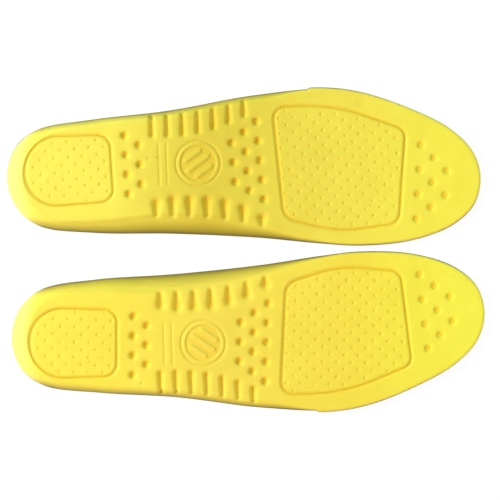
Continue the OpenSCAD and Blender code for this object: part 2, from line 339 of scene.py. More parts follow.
# the two moulds differ: each insole's dimples and slots are this far along x from the CAD's
RELIEF_SHIFT = {"right": -1.0, "left": -0.2}
DIMPLE_R, DIMPLE_DEPTH, TOE_DIMPLE_DEPTH, DIMPLE_SOFT = 1.9, 2.1, 1.1, 0.25
DIMPLE_LIP, DIMPLE_LEVELS = (0.55, 1.45), (0, 0.3, 0.55, 0.75, 0.93, 1.11, 1.29, 1.47, 1.75)
DIMPLE_PITCH, ROW_PITCH, TOE_PITCH = 11.3, 7.3, 14.3


def dimple(at, radius, depth):
    return Groove(at, at, radius, radius, depth, DIMPLE_LIP, DIMPLE_LEVELS, soft=DIMPLE_SOFT)


def dimple_row(side, x, y, count, pitch, lean, depth=DIMPLE_DEPTH):
    """Dimples from (x, y) across to the arch side. Each is lean further from the heel than the last."""
    x += RELIEF_SHIFT[side]
    return [dimple((x + lean * i, y - pitch * i), DIMPLE_R, depth) for i in range(count)]


def sole_dimples(side):
    """Two rows in front of the heel pad, three behind the forefoot pad, and three at the toe."""
    rows = [(69.3, 21.2, 4, DIMPLE_PITCH, 0.5), (77.3, 15.4, 3, DIMPLE_PITCH, 0.5)]
    for r in range(3):
        rows.append((131.4 + ROW_PITCH * r, 15.2 + 6 * r, 3 + r, DIMPLE_PITCH, 0.8))
    for r in range(3):
        x, y = 241.5 + ROW_PITCH * r, 11 - 7.7 * r
        rows.append((x, y, 4 - r, TOE_PITCH, -1.3, TOE_DIMPLE_DEPTH))
    return [d for row in rows for d in dimple_row(side, *row)]


SLOTS = 7
SLOT_SHAPE = {"lip": (0.12, 1.25), "levels": (0, 0.2, 0.4, 0.6, 0.8, 1.0, 1.2, 1.4, 1.7), "fall": 0.75}
OUTER_SLOT = {"wide_a": 2.1, "wide_b": 1.6, "depth": 2.2, "soft": 0.25, **SLOT_SHAPE}
ARCH_SLOT = {"wide_a": 2.9, "wide_b": 1.9, "depth": 2.65, "soft": 0.35, **SLOT_SHAPE}
# each side's first slot and the pitch of its row, then the sides of the first slot's two ends, and how
# those drift outwards along the row
OUT_FIRST, OUT_PITCH, OUT_ENDS, OUT_DRIFT = 85.4, 8.95, (21, 32.6), (0.42, 0.18)
ARCH_FIRST, ARCH_PITCH, ARCH_SPREAD = 86.8, 9.4, 0.13
ARCH_ENDS, ARCH_DRIFT = (-17.2, -25.3), (0.095, 0.26)
FIRST_SHORTER = 1.6   # how much shorter the arch side's first slot is


def slots(side):
    """The slots under the waist, wide at their inner ends and running out over the flank."""
    made = []
    for i in range(SLOTS):
        back = max(0, i - 1)
        x = OUT_FIRST + OUT_PITCH * i + RELIEF_SHIFT[side]
        a = OUT_ENDS[0] + OUT_DRIFT[0] * back ** 2
        b = OUT_ENDS[1] + OUT_DRIFT[1] * i * i
        made.append(Groove(*unrolled([(x, a), (x, b)]), **OUTER_SLOT))
        x = ARCH_FIRST + ARCH_PITCH * i + ARCH_SPREAD * i * i + RELIEF_SHIFT[side]
        shorter = FIRST_SHORTER if i == 0 else 0
        a = ARCH_ENDS[0] - shorter - ARCH_DRIFT[0] * back ** 3
        b = ARCH_ENDS[1] - ARCH_DRIFT[1] * back ** 2
        made.append(Groove(*unrolled([(x, a), (x, b)]), **ARCH_SLOT))
    return made


BAR_LIP, BAR_LEVELS = (0.7, 1.5), (0.4, 0.7, 1.0, 1.3, 1.55)
MOAT_IN, MOAT_DEPTH, MOAT_LIP = 0.45, 0.5, (0.1, 0.95)
FIELD_IN, FIELD_DEPTH, FIELD_LIP = 2.7, 0.62, (-0.7, 0.2)
# distances from the medallion's edge where its moat, ring and field need points
MEDAL_LEVELS = (0.6, 0.1, -0.2, -0.5, -0.8, -1.2, -2.1, -2.5, -2.8, -3.1, -3.4, -3.8)


def medallion():
    """The slanted bars, each a mark of depth 1: the share of the field that it fills."""
    turn = math.radians(BAR_ANGLE)
    along = np.array([math.cos(turn), math.sin(turn)])
    across = np.array([-along[1], along[0]])
    for i in range(BARS):
        j = i - (BARS - 1) / 2
        half = BAR_HALF - BAR_TAPER * abs(j) - BAR_W / 2
        middle = MEDAL_AT + across * BAR_PITCH * j
        ends = middle - along * half, middle + along * half
        yield Groove(*ends, BAR_W / 2, BAR_W / 2, 1, BAR_LIP, BAR_LEVELS)


def medallion_height(p):
    """A moat round a raised ring, and three bars standing in a sunk field."""
    r = np.linalg.norm(p - MEDAL_AT, axis=1)
    moat_mid, field_edge = MEDAL_R - MOAT_IN, MEDAL_R - FIELD_IN
    moat = -MOAT_DEPTH * (1 - smooth(*MOAT_LIP, np.abs(r - moat_mid)))
    field = -FIELD_DEPTH * (1 - smooth(field_edge + FIELD_LIP[0], field_edge + FIELD_LIP[1], r))
    for bar in medallion():
        field = field * (1 + bar.height(p))
    return np.minimum(moat, field)


def medallion_points(gap):
    made = [bar.points(gap) for bar in medallion()]
    for r in MEDAL_LEVELS:
        turn = np.linspace(0, 2 * math.pi, round(2 * math.pi * (MEDAL_R + r) / gap), endpoint=False)
        made.append(MEDAL_AT + (MEDAL_R + r) * np.column_stack([np.cos(turn), np.sin(turn)]))
    return np.concatenate(made)


LINE_LIP = (0.1, 1.6)
SCORE_DEPTH, SCORE_LEVELS = 0.4, (0, 0.5, 1.0, 1.5, 1.9)
# marks of moulding that only one insole has: place, radius and depth
MOULD_MARKS = {
    "right": [((82.1, 7.6), 0.6, 0.4), ((172.7, -38.6), 1.3, -0.8), ((206.5, 36.0), 2.6, 0.25)],
    "left": [((74.6, 26.1), 0.8, 0.5)],
}
# the fine crease line on the left insole's flank
FOLD_PATH = [(62, -27.2), (70, -30.2), (79, -31.6), (90, -30.4), (101, -30.2)]
FOLD_HALF, FOLD_DEPTH, FOLD_LEVELS = 0.5, 0.16, (0, 0.6, 1.2, 1.7)


def small_marks(side):
    """Score lines beside the medallion, and the marks of moulding on each insole."""
    made = []
    for x in SCORE_X:
        ends = (x, MEDAL_AT[1] - SCORE_HALF), (x, MEDAL_AT[1] + SCORE_HALF)
        made.append(Groove(*ends, SCORE_W / 2, SCORE_W / 2, SCORE_DEPTH, LINE_LIP, SCORE_LEVELS))
    made += [dimple(*mark) for mark in MOULD_MARKS[side]]
    if side == "left":
        path = unrolled(FOLD_PATH)
        for ends in zip(path, path[1:]):
            made.append(Groove(*ends, FOLD_HALF, FOLD_HALF, FOLD_DEPTH, LINE_LIP, FOLD_LEVELS))
    return made


WAVES, WAVE_SEEDS = (70, 46, 31, 22, 15), {"right": 11, "left": 29}
FOAM_WAVE, PAD_WAVE = 0.07, 0.05   # height of the longest wave


def unevenness(p, side, size=FOAM_WAVE):
    """The slow waviness of moulded foam."""
    rng = np.random.default_rng(WAVE_SEEDS[side])
    total = np.zeros(len(p))
    for wave in WAVES:
        angle, phase = rng.uniform(0, 2 * math.pi, 2)
        run = p[:, 0] * math.cos(angle) + p[:, 1] * math.sin(angle)
        total += np.sin(run * 2 * math.pi / wave + phase) * wave / WAVES[0]
    return total * size


# ---- pads ----
PAD_STEP = 0.75    # distance between the points of a pad's outline


def pad_outline(corners, arc_steps=12):
    """The rounded outline of a pad, clockwise, as in the CAD part."""
    made = []
    for i, (x, y, radius) in enumerate(corners):
        p = np.array([x, y], float)
        ways = [np.array(corners[j % len(corners)][:2], float) - p for j in (i - 1, i + 1)]
        ua, ub = (w / np.linalg.norm(w) for w in ways)
        half = math.acos(ua @ ub) / 2
        middle = (ua + ub) / np.linalg.norm(ua + ub)
        centre = p + middle * radius / math.sin(half)
        start, end = (p + u * radius / math.tan(half) - centre for u in (ua, ub))
        for s in np.linspace(0, 1, arc_steps):
            v = mix(start, end, s)
            made.append(centre + radius * v / np.linalg.norm(v))
    return resampled(np.array(made), PAD_STEP)


def grown(line, d):
    """A clockwise closed line, moved out by d."""
    t = np.roll(line, -1, axis=0) - np.roll(line, 1, axis=0)
    t = t / np.linalg.norm(t, axis=1)[:, None]
    return line + d * np.column_stack([-t[:, 1], t[:, 0]])


def outside(line, p):
    """Distance of each point from a closed line, negative inside it."""
    a, b = line, np.roll(line, -1, axis=0)
    best, crossings = np.full(len(p), 1e9), np.zeros(len(p), int)
    for s, e in zip(a, b):
        v = e - s
        t = np.clip((p - s) @ v / (v @ v), 0, 1)
        best = np.minimum(best, np.linalg.norm(p - s - t[:, None] * v, axis=1))
        spans = (s[1] > p[:, 1]) != (e[1] > p[:, 1])
        at = s[0] + (p[:, 1] - s[1]) * v[0] / (v[1] if v[1] else 1e-12)
        crossings += spans & (p[:, 0] < at)
    return np.where(crossings % 2 == 1, -best, best)


# distances are measured outwards from the pocket's outline
LIP = 1.55               # where the pocket's rounded lip ends
GROOVE = 0.8             # depth of the groove round a pad
GROOVE_FLOOR = -0.35     # where the lip reaches that depth
LEDGE = (-0.75, -1.15)   # where the groove's floor ends, and where the pocket's own floor starts
POCKET_LEVELS = (1.95, LIP, 1.25, 0.95, 0.65, 0.35, 0.0, GROOVE_FLOOR, LEDGE[0], -0.95, LEDGE[1])
# each pad's outline, thickness, and the point that its rows of pits are counted from
PADS = {
    "heel": (pad_outline(HEEL_PAD), HEEL_PAD_T, (36.3, 1.05)),
    "forefoot": (pad_outline(FORE_PAD), FORE_PAD_T, (188.6, 8.7)),
}


def pocket_height(p):
    low = np.zeros(len(p))
    for line, depth, _ in PADS.values():
        d = outside(line, p) - PAD_GAP
        groove = -GROOVE * (1 - smooth(GROOVE_FLOOR, LIP, d))
        drop = -(depth - GROOVE) * smooth(-LEDGE[0], -LEDGE[1], -d)
        low = np.minimum(low, groove + drop)
    return low


# ---- meshes ----
def hexagons(low, high, gap):
    """Evenly spread points over a box."""
    rows = np.arange(low[1], high[1], gap * math.sqrt(0.75))
    cols = np.arange(low[0], high[0], gap)
    x, y = np.meshgrid(cols, rows)
    x = x + (np.arange(len(rows)) % 2)[:, None] * gap / 2
    return np.column_stack([x.ravel(), y.ravel()])


def thinned(groups, gap):
    """Points of each group in turn, without those that are too close to an earlier one."""
    kept, cells = [], {}
    for group in groups:
        for p in group:
            i, j = int(p[0] // gap), int(p[1] // gap)
            near = (q for a in (-1, 0, 1) for b in (-1, 0, 1) for q in cells.get((i + a, j + b), ()))
            if any((q[0] - p[0]) ** 2 + (q[1] - p[1]) ** 2 < gap * gap for q in near):
                continue
            cells.setdefault((i, j), []).append(p)
            kept.append(p)
    return np.array(kept)


def triangulated(border, inside):
    """Triangles over a border, given anticlockwise, and points inside it. The border comes first."""
    count = len(border)
    points = np.vstack([border, inside])
    loop = list(range(count))
    verts, _, faces, *_ = delaunay_2d_cdt([Vector(p) for p in points], [], [loop], 1, 1e-5, False)
    verts = np.array([tuple(v) for v in verts])
    if len(verts) != len(points) or np.abs(verts - points).max() > 1e-3:
        raise RuntimeError("the triangulation moved or joined points")
    faces = np.array(faces)
    # it also fills the border's hollows, with triangles that lie outside and touch only the border
    touching = np.flatnonzero((faces < count).all(axis=1))
    away = outside(verts[:count], verts[faces[touching]].mean(axis=1)) > 0
    kept = np.delete(faces, touching[away], axis=0)
    return verts, [tuple(f) for f in kept.tolist()]


def band(a, b, n):
    """Faces between two closed rings of n points that start at a and b, the first of them above."""
    return [(a + i, b + i, b + (i + 1) % n, a + (i + 1) % n) for i in range(n)]


def flipped(faces, offset=0):
    return [tuple(i + offset for i in reversed(f)) for f in faces]


def ring_at(ring, inset):
    """Points that far inside the outline, for a ring of outline points."""
    at = outward(ring)
    return at.centre + at.way * (at.reach - inset)[:, None]


def placing():
    """Turns and shifts from the insole's own frame to the row frame, in metres, read from the CAD boxes."""
    pitch = math.atan((RIM_H - FORE_T) / LENGTH)
    low_edge = np.column_stack([PLAIN, COVER_T - rim(PLAIN)])
    x = low_edge[:, 0] * math.cos(pitch) + low_edge[:, 2] * math.sin(pitch)
    z = -low_edge[:, 0] * math.sin(pitch) + low_edge[:, 2] * math.cos(pitch)
    low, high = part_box("right_base_foam")
    scale = (high.x - low.x) / (x.max() - x.min())
    shift = (
        (low.x + high.x) / 2 / scale - (x.max() + x.min()) / 2,
        (low.y + high.y) / 2 / scale - (PLAIN[:, 1].max() + PLAIN[:, 1].min()) / 2,
        low.z / scale - z.min(),
    )
    return pitch, scale, shift


PITCH, SCALE, SHIFT = placing()


def place(verts, side):
    x = verts[:, 0] * math.cos(PITCH) + verts[:, 2] * math.sin(PITCH) + SHIFT[0]
    y = (verts[:, 1] + SHIFT[1]) * SIDES[side]
    z = -verts[:, 0] * math.sin(PITCH) + verts[:, 2] * math.cos(PITCH) + SHIFT[2]
    return np.column_stack([x, y, z]) * SCALE


def piece(name, side, verts, faces, material, **shares):
    """A closed mesh in the row frame. Each share is a value per point that its material reads."""
    if SIDES[side] < 0:
        faces = flipped(faces)
    mesh = bpy.data.meshes.new(name)
    mesh.from_pydata(place(verts, side).tolist(), [], faces)
    mesh.update()
    mesh.polygons.foreach_set("use_smooth", np.ones(len(mesh.polygons), bool))
    for title, values in shares.items():
        filled = np.zeros(len(verts), np.float32)
        filled[:len(values)] = values
        mesh.attributes.new(title, "FLOAT", "POINT").data.foreach_set("value", filled)
    mesh.materials.append(material)
    made = bpy.data.objects.new(name, mesh)
    bpy.context.scene.collection.objects.link(made)
    return made


# distances between points: round the outline, on marks, on the medallion, and elsewhere
RING_GAP, FINE, MEDAL_FINE, FILL = 0.8, 0.5, 0.6, 1.25
CLEAR = 0.3                           # the least distance between points of the sole side
# the least distance of loose points from other points, from the crease and from the rim, in fills
FILL_CLEAR, CREASE_CLEAR, RIM_CLEAR = 0.55, 0.5, 0.6
BORDER_LIMIT = 0.97                   # share of the unrolled flank that shapes may have points on
FLANK_RINGS, RINGS_CROWD = 15, 1.25   # rings of points over the flank, closer together at its crease
POCKET_IN = 0.8                       # how far inside a pocket's outline the loose points end
UNDER_FILL, BOND = 3.0, 0.02          # distance between the foot side's points, and its gap to the cover


def foam_body(side, material):
    """The moulded foam: a sole side with all its marks, joined round the edge to a plain foot side."""
    ring = resampled(EDGE, RING_GAP)[::-1]
    at = outward(ring)
    flank = flank_of(at.edge)
    inner, long = at.reach - flank.breadth, strip(flank.breadth, flank.high)
    shares = (np.arange(FLANK_RINGS) / (FLANK_RINGS - 1)) ** RINGS_CROWD
    rings = [at.centre + at.way * (inner + long * s)[:, None] for s in shares]
    border = rings.pop()
    n = len(border)
    marks = slots(side) + sole_dimples(side) + small_marks(side)
    plan, faces = triangulated(border, sole_points(border, rings, marks))
    pockets, medal = pocket_height(plan), medallion_height(plan)
    # painted shade: the deeper a point lies in a pocket, the medallion or a mark, the more it darkens
    # towards an orange
    relief, cavity = np.minimum(pockets, medal), np.maximum(-pockets / GROOVE, -medal)
    for mark in marks:
        h = mark.height(plan)
        relief = relief + h if mark.depth < 0 else np.minimum(relief, h)
        cavity = np.maximum(cavity, -h / max(mark.depth, 1))
    base, normal, shade_and_dull = on_sole_side(plan)
    verts = base + normal * (relief + unevenness(plan, side))[:, None]
    under_plan, under_faces = triangulated(*bottom_points(ring, FOAM_EDGE, UNDER_FILL))
    under = np.column_stack([under_plan, foot_side(under_plan, COVER_T + BOND)])
    start = len(verts)
    faces = faces + band(0, start, n) + flipped(under_faces, start)
    return piece(f"{side}_foam_body", side, np.vstack([verts, under]), faces, material,
                 flank=np.concatenate([shade_and_dull, np.ones(len(under))]),
                 cavity=np.clip(cavity, 0, 1) ** 2,
                 along=np.concatenate([plan[:, 0], under[:, 0]]) / LENGTH)


def sole_points(border, rings, marks):
    """Points for the sole side: each shape's own first, then the flank's rings, then a loose fill."""
    shaped = [m.points(FINE) for m in marks]
    for line, *_ in PADS.values():
        shaped += [resampled(grown(line, PAD_GAP + d), PAD_STEP) for d in POCKET_LEVELS]
    shaped.append(medallion_points(MEDAL_FINE))
    shaped = [points[inside_border(points)] for points in shaped]
    loose = hexagons(EDGE.min(0), EDGE.max(0), FILL)
    at = outward(loose)
    loose = loose[at.r < at.reach - flank_of(at.edge).breadth - CREASE_CLEAR * FILL]
    for line, *_ in PADS.values():
        loose = loose[outside(line, loose) > PAD_GAP - POCKET_IN]
    kept = thinned([border, *shaped], CLEAR)[len(border):]
    kept = thinned([border, kept, *rings], CLEAR)
    return sparse(kept, loose, FILL_CLEAR * FILL)[len(border):]


def inside_border(p):
    """Which points lie far enough inside the unrolled sole side's border."""
    at = outward(p)
    flank = flank_of(at.edge)
    return at.r < at.reach - flank.breadth + BORDER_LIMIT * strip(flank.breadth, flank.high)


def sparse(points, extra, gap):
    """points, and those of extra that stand clear of them."""
    cells = {}
    for p in points:
        cells.setdefault((int(p[0] // gap), int(p[1] // gap)), []).append(p)
    kept = []
    for p in extra:
        i, j = int(p[0] // gap), int(p[1] // gap)
        near = (q for a in (-1, 0, 1) for b in (-1, 0, 1) for q in cells.get((i + a, j + b), ()))
        if not any((q[0] - p[0]) ** 2 + (q[1] - p[1]) ** 2 < gap * gap for q in near):
            kept.append(p)
    return np.vstack([points, kept])


RIM_RINGS, UNDER_CLEAR = (0.6, RIM_LAND, RIM_LAND + 1.2), 0.5


def bottom_points(ring, inset, fill):
    """A border that far inside the outline, and points inside it for the foot side."""
    border = ring_at(ring, inset)
    loose = hexagons(EDGE.min(0), EDGE.max(0), fill)
    at = outward(loose)
    loose = loose[at.r < at.reach - inset - RIM_CLEAR * fill]
    rings = [ring_at(ring[::2], inset + d) for d in RIM_RINGS]
    return border, thinned([*rings, loose], UNDER_CLEAR)


COVER_IN, UPPER_FILL, LOWER_FILL = 0.35, 4.0, 1.6
PROUD = 0.12   # how far the cover's edge stands out past the foam
# the cover's edge: distance inside the outline, and height as a share of its thickness
COVER_EDGE = [(-0.4 * PROUD, 0.9), (-PROUD, 0.6), (-PROUD, 0.35), (-0.4 * PROUD, 0.08)]


def knit_cover(side, material):
    """The cover over the foot side, with a rounded edge."""
    ring = resampled(EDGE, RING_GAP)[::-1]
    n = len(ring)
    upper_plan, upper_faces = triangulated(*bottom_points(ring, COVER_IN, UPPER_FILL))
    lower_plan, lower_faces = triangulated(*bottom_points(ring, COVER_IN, LOWER_FILL))
    upper = np.column_stack([upper_plan, foot_side(upper_plan, COVER_T)])
    lower = np.column_stack([lower_plan, foot_side(lower_plan, 0)])
    high = rim(outward(ring).edge)
    edges = [(ring_at(ring, inset), COVER_T * share - high) for inset, share in COVER_EDGE]
    rounds = [np.column_stack(pair) for pair in edges]
    starts = [len(upper) + i * n for i in range(len(rounds) + 1)]
    faces = list(upper_faces) + band(0, starts[0], n)
    for a, b in zip(starts, starts[1:]):
        faces += band(a, b, n)
    faces += flipped(lower_faces, starts[-1])
    return piece(f"{side}_knit_cover", side, np.vstack([upper, *rounds, lower]), faces, material)


LATTICE, LATTICE_ROW, LATTICE_LEAN = 8.35, 4.35, 3.5   # distance in a row, between rows, and degrees
LATTICE_ROWS, LATTICE_COLS = range(-14, 15), range(-8, 9)
PIT_R, PIT_DEPTH, PIT_LIP, PIT_LEVELS = 0.86, 0.5, (0.1, 1.5), (0, 0.4, 0.75, 1.1, 1.5)
PIT_WANDER, PIT_MARGIN = 0.12, 1.6     # how far a pit may be out of place, and from the pad's outline
PIT_R_SPREAD, PIT_DEPTH_SPREAD = (0.85, 1.1), (0.7, 1.15)
PIT_SEEDS, PIT_SIZE_SEEDS = {"right": 5, "left": 7}, {"right": 3, "left": 4}
PIT_SHADE_SHARE = 0.6                         # how much of the recesses' painted shade a pit takes
# distances inside the pad's outline where its rounded edge needs points
PAD_LEVELS = (0.12, 0.3, 0.5, 0.75, 1.0, 1.3, 1.8)
PAD_EDGE_LOW, PAD_EDGE = 0.85 * GROOVE, (-0.15, 1.5)   # drop of the pad's edge, and where it is rounded
PAD_CROWN, CROWN_RUN = 0.18, 14        # height of the pad's crown, reached that far inside its outline
PAD_FILL, PAD_FILL_IN, PAD_CLEAR, PAD_FILL_CLEAR = 1.2, 2.2, 0.1, 0.6
OVERHANG, STEM_GAP, FLOOR_GAP, STEM_CHAMFER = 0.8, 0.08, 0.1, 0.2


def pits(line, at, side):
    """Small pits in staggered rows over a pad, each a little out of place."""
    rng = np.random.default_rng(PIT_SEEDS[side])
    low, high = line.min(0) - at, line.max(0) - at
    turn = math.radians(LATTICE_LEAN)
    spots = []
    for row in LATTICE_ROWS:
        for col in LATTICE_COLS:
            x, y = (col + 0.5 * (row % 2)) * LATTICE, row * LATTICE_ROW
            spot = (x * math.cos(turn) - y * math.sin(turn), x * math.sin(turn) + y * math.cos(turn))
            if low[0] < spot[0] < high[0] and low[1] < spot[1] < high[1]:
                spots.append(np.array(at) + spot + rng.normal(0, PIT_WANDER, 2))
    spots = np.array(spots)
    return spots[outside(line, spots) < -PIT_MARGIN]


def insert(side, which, material):
    """A pad with a rounded edge. Below the groove's floor it is narrower, like a plug."""
    line, thick, at = PADS[which]
    rng = np.random.default_rng(PIT_SIZE_SEEDS[side])
    border = resampled(line, PAD_STEP)[::-1]
    n = len(border)
    holes = []
    for s in pits(line, at, side):
        r = PIT_R * rng.uniform(*PIT_R_SPREAD)
        holes.append(Groove(s, s, r, r, PIT_DEPTH * rng.uniform(*PIT_DEPTH_SPREAD), PIT_LIP, PIT_LEVELS))
    rings = [resampled(grown(line, -d), PAD_STEP) for d in PAD_LEVELS]
    shaped = [h.points(FINE) for h in holes]
    loose = hexagons(line.min(0), line.max(0), PAD_FILL)
    loose = loose[outside(line, loose) < -PAD_FILL_IN]
    points = thinned([border, *shaped, *rings], PAD_CLEAR)
    points = sparse(points, loose, PAD_FILL_CLEAR)
    plan, faces = triangulated(points[:n], points[n:])
    inside = -outside(line, plan)
    drop = -PAD_EDGE_LOW * (1 - smooth(*PAD_EDGE, inside))
    sunk = sum(hole.height(plan) for hole in holes)
    z = drop + sunk + PAD_CROWN * smooth(0, CROWN_RUN, inside) + unevenness(plan, side, PAD_WAVE)
    z[:n] = -PAD_EDGE_LOW
    under, stem = -GROOVE + STEM_GAP, -thick + FLOOR_GAP
    narrow = grown(border[::-1], -OVERHANG)[::-1]
    narrower = grown(narrow[::-1], -STEM_CHAMFER)[::-1]
    rings = [(border, under), (narrow, under), (narrow, stem + STEM_CHAMFER), (narrower, stem)]
    verts, starts = [np.column_stack([plan, z])], [0]
    for plan_ring, height in rings:
        starts.append(sum(len(v) for v in verts))
        verts.append(np.column_stack([plan_ring, np.full(n, height)]))
    middle = sum(len(v) for v in verts)
    verts.append(np.array([[*line.mean(0), stem]]))
    for a, b in zip(starts, starts[1:]):
        faces = faces + band(a, b, n)
    faces += [(starts[-1] + i, middle, starts[-1] + (i + 1) % n) for i in range(n)]
    # painted shade in the pits and down the pad's edge into the groove
    cavity = np.clip(-PIT_SHADE_SHARE * sunk / PIT_DEPTH - drop / GROOVE, 0, 1)
    return piece(f"{side}_{which}_insert", side, np.vstack(verts), faces, material,
                 cavity=cavity, along=plan[:, 0] / LENGTH)


# ---- materials ----
def linear(code):
    """A #RRGGBB colour as a linear RGBA tuple."""
    parts = [int(code[i:i + 2], 16) / 255 for i in (1, 3, 5)]
    return tuple(c / 12.92 if c <= 0.04045 else ((c + 0.055) / 1.055) ** 2.4 for c in parts) + (1,)


class Shader:
    """A material's node tree, with short ways to add nodes and links."""

    def __init__(self, name, roughness, specular):
        self.material = bpy.data.materials.new(name)
        self.material.use_nodes = True
        self.tree = self.material.node_tree
        self.surface = self.tree.nodes["Principled BSDF"]
        self.surface.inputs["Roughness"].default_value = roughness
        self.surface.inputs["Specular IOR Level"].default_value = specular
        self.place = self.add("ShaderNodeTexCoord").outputs["Object"]

    def add(self, kind, **settings):
        node = self.tree.nodes.new(kind)
        for name, value in settings.items():
            setattr(node, name, value)
        return node

    def feed(self, socket, value):
        if isinstance(value, bpy.types.NodeSocket):
            self.tree.links.new(value, socket)
        else:
            socket.default_value = value

    def noise(self, scale, detail=2, rough=0.5):
        node = self.add("ShaderNodeTexNoise")
        self.feed(node.inputs["Vector"], self.place)
        node.inputs["Scale"].default_value = scale
        node.inputs["Detail"].default_value = detail
        node.inputs["Roughness"].default_value = rough
        return node.outputs["Fac"]

    def ramp(self, value, stops):
        node = self.add("ShaderNodeValToRGB")
        self.feed(node.inputs["Fac"], value)
        while len(node.color_ramp.elements) < len(stops):
            node.color_ramp.elements.new(0.5)
        for element, (at, colour) in zip(node.color_ramp.elements, stops):
            element.position, element.color = at, colour
        return node.outputs["Color"]

    def blend(self, share, a, b, how="MIX"):
        node = self.add("ShaderNodeMix", data_type="RGBA", blend_type=how)
        self.feed(node.inputs[0], share)
        self.feed(node.inputs[6], a)
        self.feed(node.inputs[7], b)
        return node.outputs[2]

    def math(self, how, a, b=0.0):
        node = self.add("ShaderNodeMath", operation=how)
        self.feed(node.inputs[0], a)
        self.feed(node.inputs[1], b)
        return node.outputs[0]

    def bump(self, height, distance, strength, normal=None):
        node = self.add("ShaderNodeBump")
        self.feed(node.inputs["Height"], height)
        node.inputs["Distance"].default_value = distance
        node.inputs["Strength"].default_value = strength
        if normal is not None:
            self.feed(node.inputs["Normal"], normal)
        return node.outputs["Normal"]


def grey(value):
    return (value, value, value, 1)


WIDE_GREY = [(0.30, grey(0)), (0.70, grey(1))]
FOAM_ROUGHNESS, SKIN_ROUGHNESS, DULL_ROUGHNESS, FOAM_SPECULAR = 0.65, (0.62, 0.72), 0.95, 0.2
# shares of the insole's length where the foam's tones lie; the tones carry painted light, lighter at the
# heel with a painted highlight at its back rim, darker over the arch, lighter again at the toe
TONES_AND_PAINTED_LIGHT_AT = (0.01, 0.05, 0.22, 0.42, 0.72, 0.93)
TONES_AND_PAINTED_LIGHT = {
    "right": ("#FFF07C", "#FBE95C", "#FAE85A", "#E3CC44", "#F7E353", "#FFF052"),
    "left": ("#FFF174", "#FEE652", "#FEE652", "#F6DC54", "#FAE24C", "#FFF44E"),
}
# painted shade: the orange that recesses darken to, and the olive that the flanks darken to towards the rim
RECESS_SHADE_COLOUR, RIM_SHADE_COLOUR = "#F4BE10", "#76681F"
MOTTLE = (0.95, 0.94, 0.86, 1)
GRAIN = [(0.32, (0.93, 0.93, 0.86, 1)), (0.62, grey(1))]
SPECKS = [(0.16, (0.80, 0.72, 0.55, 1)), (0.22, grey(1))]
# scale, detail and roughness of each noise
MOTTLE_NOISE, GRAIN_NOISE = (38, 3, 0.6), (1500, 3, 0.7)
SPECK_NOISE, DIMPLED_NOISE = (420, 1, 0.4), (260, 2, 0.5)
# depth in metres and strength of each bump
GRAIN_BUMP, DIMPLED_BUMP = (0.00005, 0.4), (0.00018, 0.3)
GRAIN_SHARE = 0.6
SCATTER_SHARE, SCATTER_RADIUS = 0.08, (0.0012, 0.0010, 0.0003)
# how far a flank takes painted shade and dull roughness, at shares of its way from the sole face to the rim
FLANK_SHADE_AND_DULL = [(0.22, grey(0)), (0.55, grey(0.42)), (0.78, grey(0.85)), (1.0, grey(1))]
RECESS_SHADE_SHARE, RECESS_SHADE_CLEARS = 0.55, 0.6   # the most of the recesses' painted shade, and how much of a flank's painted shade it takes away


def foam(name, side):
    """Moulded foam: a fine skin grain, slow mottling and a few specks, with painted shade in its recesses
    and painted shade on the flanks towards the rim, which are also duller there. Its tones follow each
    other from heel to toe and carry painted light: lighter at the heel, darker over the arch."""
    s = Shader(name, FOAM_ROUGHNESS, FOAM_SPECULAR)
    slow = s.ramp(s.noise(*MOTTLE_NOISE), WIDE_GREY)
    along = s.add("ShaderNodeAttribute", attribute_name="along").outputs["Fac"]
    # painted light along the length: lighter at the heel and its back rim, darker over the arch
    colour = s.ramp(along, [(at, linear(tone)) for at, tone in zip(TONES_AND_PAINTED_LIGHT_AT, TONES_AND_PAINTED_LIGHT[side])])
    colour = s.blend(slow, s.blend(1.0, colour, MOTTLE, "MULTIPLY"), colour)
    # painted shade: recesses darken towards an orange
    cavity = s.add("ShaderNodeAttribute", attribute_name="cavity").outputs["Fac"]
    colour = s.blend(s.math("MULTIPLY", cavity, RECESS_SHADE_SHARE), colour, linear(RECESS_SHADE_COLOUR))
    grain = s.noise(*GRAIN_NOISE)
    colour = s.blend(GRAIN_SHARE, colour, s.ramp(grain, GRAIN), "MULTIPLY")
    # painted shade: the flanks darken towards the rim to an olive, less in the recesses; the same ramp
    # makes them rougher
    flank = s.add("ShaderNodeAttribute", attribute_name="flank").outputs["Fac"]
    edge = s.ramp(flank, FLANK_SHADE_AND_DULL)
    clear = s.math("SUBTRACT", 1.0, s.math("MULTIPLY", cavity, RECESS_SHADE_CLEARS))
    colour = s.blend(s.math("MULTIPLY", edge, clear), colour, linear(RIM_SHADE_COLOUR))
    colour = s.blend(1.0, colour, s.ramp(s.noise(*SPECK_NOISE), SPECKS), "MULTIPLY")
    s.feed(s.surface.inputs["Base Color"], colour)
    wide = s.bump(s.noise(*DIMPLED_NOISE), *DIMPLED_BUMP)
    s.feed(s.surface.inputs["Normal"], s.bump(grain, *GRAIN_BUMP, wide))
    skin = s.ramp(slow, [(0.0, grey(SKIN_ROUGHNESS[0])), (1.0, grey(SKIN_ROUGHNESS[1]))])
    s.feed(s.surface.inputs["Roughness"], s.blend(edge, skin, grey(DULL_ROUGHNESS)))
    s.surface.inputs["Subsurface Weight"].default_value = SCATTER_SHARE
    s.surface.inputs["Subsurface Radius"].default_value = SCATTER_RADIUS
    s.surface.inputs["Subsurface Scale"].default_value = 1.0
    return s.material


KNIT_ROUGHNESS, KNIT_SPECULAR = 0.85, 0.2
RIB_PITCH, COURSE_PITCH = 0.0013, 0.0010   # metres between the knit's ribs, and between its rows
COURSE_LIFT, STITCH_SHARE = 1.4, 0.2       # rows sink less than ribs, and the sum is scaled to about 1
FUZZ_NOISE, FUZZ_SHARE = (2600, 2, 0.6), 0.35
STITCH_BUMP, FUZZ_BUMP = (0.00022, 0.8), (0.00006, 0.5)
KNIT_LOW, KNIT_HIGH = "#4A4426", "#8C8352"
KNIT_SHEEN, SHEEN_ROUGHNESS = 0.3, 0.5


